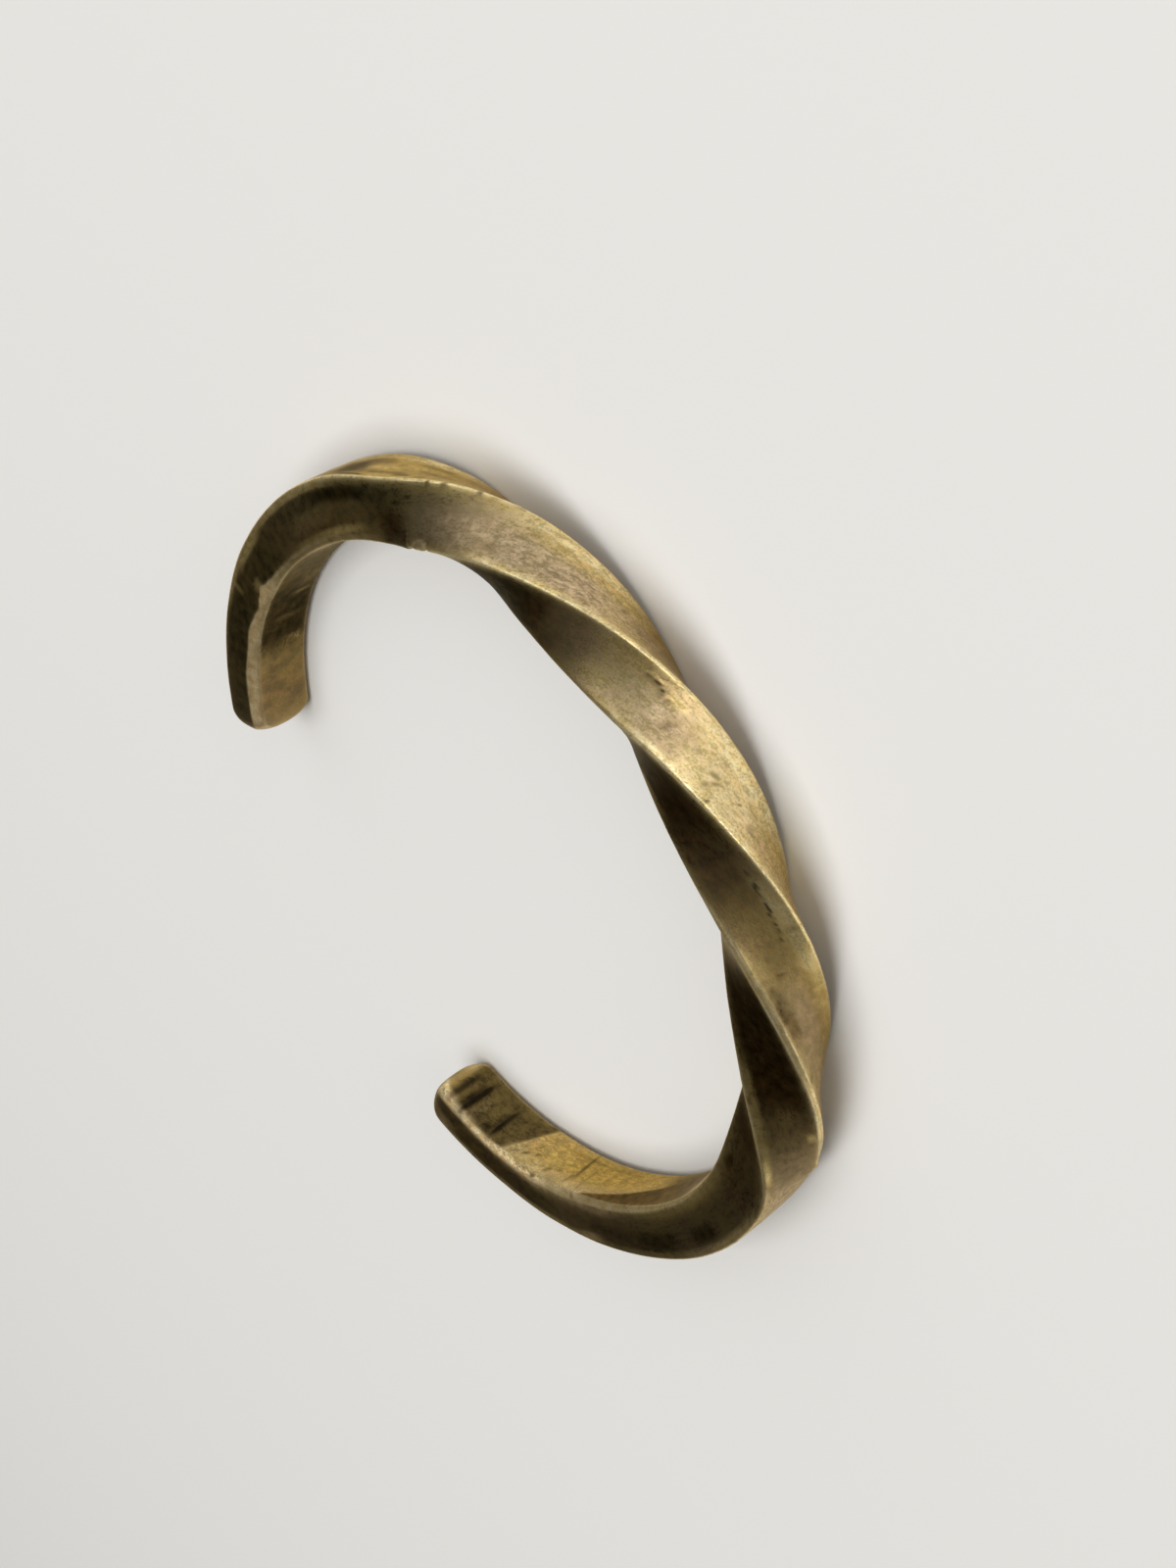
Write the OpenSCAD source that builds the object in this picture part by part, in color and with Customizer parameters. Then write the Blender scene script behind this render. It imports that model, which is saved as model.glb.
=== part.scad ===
// Open cuff bangle, bent from one square brass bar whose middle is twisted a full turn.
// It lies on its side: +Z is the wrist's direction, the twisted front faces -Y, the gap +Y.

/* [Bar] */
// Width of the square bar across its flats
bar_w = 5.5; // [4.5:0.1:6.5]
// Length of the bar along its centreline, from tip to tip
bar_len = 162; // [150:1:170]
// Rounding of the long edges where the bar is twisted
ridge_r = 0.45; // [0.2:0.05:0.8]

/* [Bend] */
// Bend radius at the middle of the front
front_r = 37.5; // [34:0.5:40]
// Bend radius round the two sides
side_r = 29; // [27:0.5:31]
// Bend radius of the last stretch before each tip
tip_r = 26.5; // [25:0.5:29]

/* [Twist] */
// Full turns in the twisted stretch, left-handed
turns = 1; // [0:1:2]
// Length of the twisted stretch
twist_len = 79; // [60:1:90]
// Length over which the twist starts at one end and dies away at the other
twist_soft = 9; // [4:1:15]
// How far the twisted stretch sits towards the right-hand end
twist_shift = 2.3; // [-4:0.1:4]

/* [Ends] */
// Thickness of the bar at the tips, in towards the wrist
tip_thick = 4.4; // [3.8:0.1:5.5]
// Width of the bar at the tips, along the wrist
tip_wide = 6.2; // [5.5:0.1:7]
// Rounding of the worn long edges at the tips
worn_r = 0.75; // [0.4:0.05:1]
// Corner radius of a tip seen from inside the bangle
tip_corner = 1.7; // [1:0.1:2.2]
// Rounding of a tip seen from the side
tip_nose = 1.5; // [0.8:0.1:1.7]

/* [Grooves] */
// Depth of the three punched grooves inside the left-hand tip
groove_deep = 0.28; // [0:0.02:0.4]
// Width of each groove
groove_wide = 0.95; // [0.6:0.05:1.2]

/* [Hidden] */

half_len = bar_len / 2;

// The bend blends from one radius to the next between these distances from the middle.
side_blend = [13, 33];
tip_blend = [55, 73];

// Where the twist runs, as stations along the bar.
twist_from = twist_shift - twist_len / 2;
twist_to = twist_shift + twist_len / 2;

// Length of the rounded nose at each tip, and its rings.
nose_len = 2.2;
nose_rings = 5;

// Distance of each groove from the left-hand tip.
groove_from_tip = [2.2, 3.8, 8.2];

// Ring spacing: fine across the grooves, wider along the rest of the bar.
fine_step = 0.32;
step = 0.86;
fine_len = 10;

// Segments in each rounded edge, and in each flat between two edges.
edge_segs = 3;
flat_segs = 3;

function unit(x) = min(1, max(0, x));
function soft(x) = let (u = unit(x)) u * u * (3 - 2 * u);

// Area under the soft step from 0 to x.
function soft_area(x) = x <= 0 ? 0 : x >= 1 ? x - 0.5 : pow(x, 3) - pow(x, 4) / 2;

// Angle turned by a change of bend from radius r0 to r1, at a distance a from the middle.
function turned(a, blend, r0, r1) =
    let (span = blend[1] - blend[0])
    (1 / r1 - 1 / r0) * span * soft_area((a - blend[0]) / span);

// Heading of the centreline at station s: 0 at the middle, positive towards the right.
function heading(s) =
    let (a = abs(s))
    sign(s) * (180 / PI)
        * (a / front_r + turned(a, side_blend, front_r, side_r) + turned(a, tip_blend, side_r, tip_r));

// Share of the twist done at station s: an even rate with a cosine start and stop.
function twist_share(s) =
    let (
        x = s - twist_shift,
        even = twist_len / 2 - twist_soft,
        a = min(abs(x), twist_len / 2),
        u = unit((a - even) / twist_soft),
        eased = twist_soft / 2 * (u + sin(180 * u) / PI)
    )
    0.5 + sign(x) / 2 * (min(a, even) + eased) / (even + twist_soft / 2);

// 0 along the twisted stretch, rising to 1 at each tip.
function flattening(s) = soft(s < twist_from
    ? (twist_from - s) / (twist_from + half_len)
    : (s - twist_to) / (half_len - twist_to));

// Depth of the grooves' rounded troughs at station s.
function groove_at(s) =
    let (depths = [for (g = groove_from_tip)
        let (off = abs(s + half_len - g) / (groove_wide / 2)) off < 1 ? (1 + cos(180 * off)) / 2 : 0])
    groove_deep * max(depths);

// Stations of the rings, each with how far the nose has closed in (0 along the bar, 1 at the tip).
nose_in = [for (i = [1:nose_rings]) let (a = 90 * i / nose_rings) [sin(a), 1 - cos(a)]];
bar_from = -half_len + nose_len;
bar_to = half_len - nose_len;
fine_count = round(fine_len / fine_step);
coarse_count = round((bar_to - bar_from - fine_len) / step);
rings = concat(
    [for (i = [nose_rings - 1:-1:0]) [bar_from - nose_len * nose_in[i][0], nose_in[i][1]]],
    [for (i = [0:fine_count - 1]) [bar_from + fine_len * i / fine_count, 0]],
    [for (i = [0:coarse_count])
        [bar_from + fine_len + (bar_to - bar_from - fine_len) * i / coarse_count, 0]],
    [for (n = nose_in) [bar_to + nose_len * n[0], n[1]]]
);

// Running sum of a list of steps in plan, starting at zero.
function running_sum(steps) = [
    for (i = 0, p = [0, 0]; i <= len(steps); p = i < len(steps) ? p + steps[i] : p, i = i + 1) p
];

// Centreline of the bar in plan, ring by ring, with the left-hand tip at zero.
centres = running_sum([for (i = [0:len(rings) - 2])
    let (span = rings[i + 1][0] - rings[i][0], h = heading((rings[i][0] + rings[i + 1][0]) / 2))
    span * [cos(h), sin(h)]]);

// Outline of a rounded rectangle: half sizes a and b, edge rounding r, points on every flat.
function outline(a, b, r) = [for (q = [0:3])
    let (
        sx = q == 0 || q == 3 ? 1 : -1,
        sy = q < 2 ? 1 : -1,
        arc = [for (i = [0:edge_segs]) let (t = 90 * (q + i / edge_segs))
            [sx * (a - r) + r * cos(t), sy * (b - r) + r * sin(t)]],
        last = arc[edge_segs],
        nxt = q % 2 == 0 ? [-sx * (a - r), sy * b] : [sx * a, -sy * (b - r)]
    )
    each concat(arc, [for (i = [1:flat_segs - 1]) last + (nxt - last) * i / flat_segs])];

// One ring: x is outwards from the wrist, y is up; the grooves sink the inner flat.
function ring_points(i) =
    let (
        s = rings[i][0],
        close = rings[i][1],
        e = flattening(s),
        a = (bar_w + (tip_thick - bar_w) * e) / 2 - tip_nose * close,
        b = (bar_w + (tip_wide - bar_w) * e) / 2 - tip_corner * close,
        r = min(ridge_r + (worn_r - ridge_r) * e, 0.9 * a, 0.9 * b),
        t = 360 * turns * twist_share(s),
        h = heading(s),
        dip = groove_at(s),
        pts = outline(a, b, r)
    )
    [for (p = pts)
        let (
            inner = p[0] < -0.9 * a && abs(p[1]) < b - r ? dip : 0,
            x = p[0] + inner,
            u = x * cos(t) - p[1] * sin(t),
            v = x * sin(t) + p[1] * cos(t)
        )
        [centres[i][0] + u * sin(h), centres[i][1] - u * cos(h), v]];

ring_list = [for (i = [0:len(rings) - 1]) ring_points(i)];
skin = [for (ring = ring_list) each ring];
per_ring = len(ring_list[0]);
last_ring = len(ring_list) - 1;

// The ridges of the twist reach lower than the flat ends, so the bangle leans back until its
// tips touch as well. The steepest line from under the tips to a point of the twist gives the lean.
tip_y = centres[last_ring - nose_rings][1];
tip_low = -tip_wide / 2;
lean = -atan(max([for (i = [0:last_ring])
    if (rings[i][0] > twist_from && rings[i][0] < twist_to)
        each [for (p = ring_list[i]) (tip_low - p[2]) / (tip_y - p[1])]]));

function leaned(p) = [p[0], p[1] * cos(lean) - p[2] * sin(lean), p[1] * sin(lean) + p[2] * cos(lean)];
resting = [for (p = skin) leaned(p)];

// The origin is under the middle of the bangle's box, on the surface that it lies on.
low = [for (k = [0:2]) min([for (p = resting) p[k]])];
high = [for (k = [0:2]) max([for (p = resting) p[k]])];
shift = [(low[0] + high[0]) / 2, (low[1] + high[1]) / 2, low[2]];

sides = [for (i = [0:last_ring - 1]) for (j = [0:per_ring - 1])
    let (p = i * per_ring + j, q = i * per_ring + (j + 1) % per_ring)
    each [[p, q, q + per_ring], [p, q + per_ring, p + per_ring]]];
first_cap = [for (j = [per_ring - 1:-1:0]) j];
last_cap = [for (j = [0:per_ring - 1]) last_ring * per_ring + j];

module bangle() {
    color("#a8894c")
        polyhedron(points = [for (p = resting) p - shift], faces = concat(sides, [first_cap, last_cap]));
}

bangle();
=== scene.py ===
# Torque bangle of antiqued brass, lying on its side on a pale table in soft studio light.
import bpy
import math
import numpy as np
from mathutils import Matrix, Vector


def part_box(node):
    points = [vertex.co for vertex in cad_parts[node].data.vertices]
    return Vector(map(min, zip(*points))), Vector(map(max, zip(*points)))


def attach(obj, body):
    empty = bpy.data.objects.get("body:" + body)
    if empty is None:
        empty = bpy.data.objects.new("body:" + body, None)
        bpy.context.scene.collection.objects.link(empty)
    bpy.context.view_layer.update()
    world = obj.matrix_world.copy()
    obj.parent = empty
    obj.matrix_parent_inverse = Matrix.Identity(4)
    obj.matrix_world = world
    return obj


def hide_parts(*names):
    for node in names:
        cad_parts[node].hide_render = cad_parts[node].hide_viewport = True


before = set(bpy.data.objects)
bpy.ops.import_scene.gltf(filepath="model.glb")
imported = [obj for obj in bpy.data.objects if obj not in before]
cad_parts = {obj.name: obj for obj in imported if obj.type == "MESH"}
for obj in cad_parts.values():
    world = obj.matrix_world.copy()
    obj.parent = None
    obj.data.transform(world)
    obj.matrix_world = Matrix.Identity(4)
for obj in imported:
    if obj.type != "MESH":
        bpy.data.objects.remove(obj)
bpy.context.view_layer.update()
mm = 0.001

# The bar before it is bent, in mm. A station is a distance along the bar from its middle, and a
# ridge is one of its four long edges: A outer top, B inner top, C inner bottom, D outer bottom.
bangle = {
    "width": 5.5,  # across the flats
    "length": 162.0,  # tip to tip along the middle
    "bendRadii": (37.5, 29.0, 26.5),  # front, sides, before the tips
    "bendBlends": ((13.0, 33.0), (55.0, 73.0)),  # where one radius runs into the next
    "twistLength": 79.0,  # one full turn to the left
    "twistEase": 9.0,  # over which the twist starts and dies away
    "twistMiddle": 2.3,
    "tipThickness": 4.4,
    "tipWidth": 6.2,
    "noseLength": 2.2,
    "noseThickness": 1.5,  # how far the nose closes in through the thickness
    "noseWidth": 1.7,  # and through the width
    "crown": 0.05,  # how far the middle of a flat stands proud
    "fullestRound": 0.9,  # of half the bar, the most that the rounding of a ridge takes up
    # unevenness left by the hammer and the file: wave lengths and heights, how many waves there
    # are of each length, and how far that strays
    "waves": {"sizes": ((14.0, 0.034), (6.0, 0.016), (2.2, 0.004)), "each": 10, "stray": (0.7, 1.4)},
    # small dents all over: how many, and the least and most of their half lengths, of their widths
    # against these, of their depths, darknesses and places
    "dings": {
        "count": 420, "size": (0.10, 0.40), "slender": (0.4, 1), "depth": (0.004, 0.018),
        "dark": (-0.5, 0.5), "stations": (-80, 80), "past": (0, 5.5), "seed": 11,
    },
    # the fold in the top face on the right-hand side, where the metal has lapped over itself: it
    # starts just before its place past ridge A and ends past ridge B, drops by its depth over its
    # lip, and comes back over its run
    "fold": {
        "station": 35.1, "past": 3.7, "before": 0.6, "over": 0.9, "end": 6.2,
        "lip": 0.14, "depth": 0.14, "run": 2.2, "dark": 0.9,
    },
    # the small raised ring beside it, left where the ridge was pressed in, with a sunk middle; its rim
    # is bare metal with a painted highlight
    "pressedRing": {
        "station": 33.4, "ridge": "B", "past": -0.05, "halfLong": 1.10, "halfWide": 0.60,
        "rim": 0.10, "height": 0.07, "slope": 0.4, "bareAndHighlight": 0.50,
    },
    # wear beside a ridge: half width of its bright line, which is bare metal with a painted highlight,
    # and of the rubbed strip along it, how strong the strip is, and how softly the worn flat ends
    "ridgeWearAndHighlight": {"line": 0.18, "strip": 0.55, "stripStrength": 0.5, "facetEdge": 0.30},
    "spill": {"reach": 0.1, "soft": 0.3},  # how far a patch spills over a ridge, and how softly
    "noseBrown": 0.62,  # how brown the rounded noses and the end faces are
    "noseFade": 1.3,  # how fast the other layers die away over the noses
    # how fine the mesh is, and where its stations stand closer together: middle, reach, and how
    # many more there are
    "stations": 860,
    "noseRings": 14,
    "capRings": 4,
    "edgeSegments": 5,
    "flatSegments": 22,
    "crowdedAt": (
        (-77, 5, 0.9), (-68, 3, 0.3), (-6, 4, 0.3), (4, 3, 0.3), (10.5, 2, 0.5), (34.2, 2.2, 1.2),
    ),
    "bendSamples": 8001,  # points that the middle line is summed over
    "crowdSamples": 4001,  # and those that the stations are shared out over
}

# The state of each ridge: station, how far its rounding reaches along the top or bottom face and
# along the inner or outer face, how far it is worn flat, how bright its line is (bare metal with a
# painted highlight), and how far the worn flat is rubbed down to tan metal, whose pale, nearly matt
# colour on the left-hand end of B is partly a painted highlight.
ridgeColumns = ("station", "reachTop", "reachSide", "flat", "bareAndHighlight", "tan")
ridges = {
    "A": (
        (-81, 0.6, 0.6, 0, 0.2, 0),
        (-60, 0.5, 0.5, 0, 0.25, 0),
        (-38, 0.38, 0.38, 0, 0.45, 0),
        (-26, 0.3, 0.3, 0, 0.6, 0),
        (-8, 0.3, 0.3, 0, 0.6, 0),
        (18, 0.28, 0.28, 0, 0.5, 0),
        (27, 0.24, 0.24, 0, 0.9, 0),
        (46, 0.24, 0.24, 0, 1, 0),
        (52, 0.34, 0.34, 0, 0.6, 0),
        (60, 0.5, 0.5, 0.3, 0.3, 0.3),
        (81, 0.6, 0.6, 0.3, 0.3, 0.2),
    ),
    "B": (
        # pale worn flat on the left-hand end: tan metal, partly a painted highlight
        (-81, 0.9, 0.4, 0.4, 0.3, 0.8),
        (-76, 0.92, 0.35, 0.4, 0.3, 0.78),
        (-71, 1.15, 0.35, 0.5, 0.3, 1),
        (-66.5, 1.1, 0.35, 0.5, 0.3, 1),
        (-63.5, 0.85, 0.35, 0.5, 0.35, 0.48),
        (-57, 0.6, 0.35, 0.5, 0.4, 0.3),
        (-44, 0.4, 0.35, 0.4, 0.45, 0.2),
        (-34, 0.32, 0.32, 0, 0.45, 0),
        (-8, 0.3, 0.3, 0, 0.8, 0),
        (8, 0.31, 0.31, 0, 1, 0),
        (20, 0.31, 0.31, 0, 1, 0),
        (32, 0.32, 0.32, 0, 0.9, 0),
        (38, 0.36, 0.36, 0, 0.2, 0.1),
        (47, 0.65, 0.4, 0.5, 0.2, 0.08),
        (56, 0.55, 0.45, 0.7, 0.35, 0.12),
        (59, 0.58, 0.45, 0.8, 0.45, 0.28),
        (60.6, 0.8, 0.5, 0.9, 0.3, 0.5),
        (61.9, 1.22, 0.5, 0.9, 0.25, 0.55),
        (63, 0.85, 0.5, 0.9, 0.25, 0.5),
        (64.4, 0.5, 0.5, 0.8, 0.35, 0.45),
        (66, 0.72, 0.5, 0.9, 0.25, 0.5),
        (68, 1.05, 0.5, 0.9, 0.25, 0.52),
        (70.5, 0.85, 0.5, 0.9, 0.25, 0.48),
        (74, 1, 0.5, 0.9, 0.25, 0.5),
        (81, 0.8, 0.5, 0.9, 0.25, 0.5),
    ),
    "C": (
        (-81, 0.6, 0.6, 0.2, 0.3, 0.2),
        (-40, 0.4, 0.4, 0, 0.4, 0),
        (-18, 0.3, 0.3, 0, 0.7, 0),
        (-4, 0.33, 0.33, 0, 1, 0),
        (8, 0.36, 0.36, 0, 1, 0),
        (16, 0.34, 0.34, 0, 0.5, 0),
        (40, 0.38, 0.38, 0, 0.4, 0),
        (81, 0.6, 0.6, 0.3, 0.3, 0.3),
    ),
    "D": (
        (-81, 0.6, 0.6, 0.2, 0.3, 0.2),
        (-40, 0.42, 0.42, 0.3, 0.4, 0.2),
        (-28, 0.36, 0.36, 0.9, 0.8, 0.3),
        (-8, 0.34, 0.34, 1, 0.7, 0.2),
        (-2, 0.3, 0.3, 0.2, 0.5, 0),
        (8, 0.3, 0.3, 0, 0.5, 0),
        (40, 0.4, 0.4, 0, 0.5, 0),
        (81, 0.6, 0.6, 0.3, 0.3, 0.3),
    ),
}

# Cuts, pits, nicks and dents. Each row: station of its middle, ridge, distance past that ridge
# (on from A to B to C to D), half length, half width, turn in degrees from along the bar, depth,
# and how dark it is: more than 1 is dark out to its edge. All in mm but the turn and the darkness.
markColumns = ("station", "ridge", "past", "long", "wide", "turn", "depth", "dark")
marks = (
    # punched grooves inside the left-hand tip, each with one steep side
    (-78.85, "B", 2.4, 2, 0.36, 90, 0.24, 0.9),
    (-77.4, "B", 2.5, 2.05, 0.48, 90, 0.16, 0.8),
    (-76.98, "B", 2.55, 2.2, 0.34, 90, 0.26, 1.6),
    (-72.85, "B", 2.6, 2.1, 0.3, 92, 0.26, 1.25),
    (-73, "B", 2.7, 1.9, 0.6, 92, 0.04, 0.55),
    (-73.7, "B", 1.1, 0.6, 0.6, 60, 0.05, 0.5),
    # older, shallower strokes across the same face
    (-62, "B", 3.7, 1.9, 0.2, 96, 0.06, 0.75),
    (-62.3, "B", 1.6, 0.8, 0.22, 75, 0.03, 0.4),
    (-60.5, "B", 2.6, 1.8, 0.18, 91, 0.04, 0.3),
    (-58.3, "B", 3.1, 1.6, 0.2, 88, 0.04, 0.15),
    (-70.2, "B", 3.2, 1.2, 0.22, 86, 0.04, 0.1),
    # pits beside them
    (-68.55, "B", 1.75, 0.3, 0.13, 35, 0.06, 0.85),
    (-68.85, "B", 1.55, 0.22, 0.12, -20, 0.05, 0.6),
    (-67.5, "B", 2.25, 0.2, 0.12, 60, 0.05, 0.8),
    (-67.2, "B", 2.35, 0.16, 0.1, 0, 0.04, 0.55),
    (-65.25, "B", 1.3, 0.36, 0.16, 70, 0.05, 0.5),
    (-65, "B", 1.6, 0.2, 0.12, 10, 0.04, 0.4),
    (-69.6, "B", 1.3, 0.5, 0.13, 40, 0.05, 0.6),
    (-69.9, "B", 1.55, 0.26, 0.11, -40, 0.04, 0.5),
    (-70.1, "B", 1.05, 0.3, 0.12, -30, 0.05, 0.5),
    (-69.3, "B", 2.35, 0.45, 0.1, 30, 0.04, 0.45),
    (-67.9, "B", 3.2, 0.25, 0.12, 60, 0.04, 0.5),
    (-66.8, "B", 1.1, 0.3, 0.12, 10, 0.04, 0.45),
    (-64, "B", 2.1, 0.3, 0.14, 80, 0.04, 0.45),
    (-66.1, "B", 0.1, 0.4, 0.22, 30, 0.08, 0.6),
    (-65.8, "B", 0.25, 0.22, 0.18, -20, 0.06, 0.45),
    # chip where the inner top ridge meets the left-hand tip
    (-79.9, "B", 0.35, 0.7, 0.55, 30, 0.22, 0),
    # dark dots on the top face behind the left-hand end
    (-33.6, "A", 0.95, 0.3, 0.24, 20, 0.04, 0.8),
    (-37, "A", 1.95, 0.75, 0.3, 0, 0.04, 0.7),
    (-35.2, "A", 1.7, 0.3, 0.18, 0, 0.03, 0.5),
    # nicks along the top ridge of the hump
    (26.8, "A", 0.1, 0.35, 0.24, 0, 0.06, 0.2),
    (29.6, "A", 0.1, 0.16, 0.2, 0, 0.08, 0.7),
    (32.3, "A", 0.05, 0.26, 0.16, 20, 0.06, 0.6),
    (33.6, "A", 0.1, 0.15, 0.18, 0, 0.08, 0.7),
    (41.2, "A", 0, 0.16, 0.22, 0, 0.06, 0.2),
    (48, "A", 0.6, 0.5, 0.16, 50, 0.05, 0.5),
    (48.6, "A", 0.75, 0.4, 0.14, -40, 0.04, 0.5),
    # cracks and pits on the bright inner face of the twist
    (10.95, "B", 1.12, 0.6, 0.1, -14, 0.07, 1.15),
    (10.3, "B", 1.36, 0.32, 0.1, -34, 0.06, 1.2),
    (11.6, "B", 1.08, 0.36, 0.12, 10, 0.05, 0.8),
    (9.6, "B", 1.6, 0.22, 0.1, 40, 0.04, 0.5),
    (3.75, "B", 3, 0.42, 0.2, 12, 0.04, 0.55),
    (3.25, "B", 3.45, 0.32, 0.2, 60, 0.04, 0.5),
    (3.6, "B", 4.1, 0.28, 0.26, 30, 0.04, 0.5),
    (2.9, "B", 3.1, 0.2, 0.14, 0, 0.03, 0.4),
    (5.7, "B", 2.75, 0.3, 0.18, 0, 0.03, 0.35),
    (2.6, "B", 5, 0.18, 0.13, 70, 0.09, 1),
    (-0.7, "B", 3.7, 0.5, 0.13, -10, 0.05, 0.6),
    (0.15, "B", 2.2, 0.6, 0.08, 0, 0.02, 0.35),
    (1.2, "B", 2.9, 0.15, 0.12, 0, 0.06, 0.75),
    (1.7, "B", 2.75, 0.13, 0.1, 0, 0.06, 0.7),
    # row of pits on the next face, beside ridge C
    (-2.9, "C", 1.15, 0.36, 0.1, 6, 0.05, 0.8),
    (-4.1, "C", 1.25, 0.42, 0.14, -4, 0.09, 1.6),
    (-4.95, "C", 1.27, 0.6, 0.1, 4, 0.07, 1.5),
    (-5.85, "C", 1.34, 0.5, 0.12, 8, 0.08, 1.6),
    (-6.55, "C", 1.5, 0.36, 0.1, 14, 0.06, 1.1),
    (-7.1, "C", 1.62, 0.26, 0.1, 20, 0.06, 1),
    (-7.75, "C", 1.66, 0.34, 0.12, -6, 0.08, 1.2),
    (-8.35, "C", 1.8, 0.26, 0.1, 16, 0.06, 0.8),
    (-10.9, "C", 3, 0.45, 0.09, 80, 0.04, 0.55),
    (-13.6, "C", 4.5, 0.9, 0.3, 0, 0.03, 0.35),
    # kink in the lower ridge on the left-hand side
    (-30.4, "D", 0.05, 0.45, 0.6, 0, 0.17, 0.1),
    (-31.2, "D", 0.6, 0.4, 0.9, 0, 0.06, 0.1),
    # dark line and dashes on the hump
    (42, "D", 5, 1.6, 0.12, 2, 0.04, 1.2),
    (36.6, "D", 4.6, 0.6, 0.16, 6, 0.03, 0.7),
    (35, "D", 4.75, 0.5, 0.16, 4, 0.03, 0.7),
)
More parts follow.
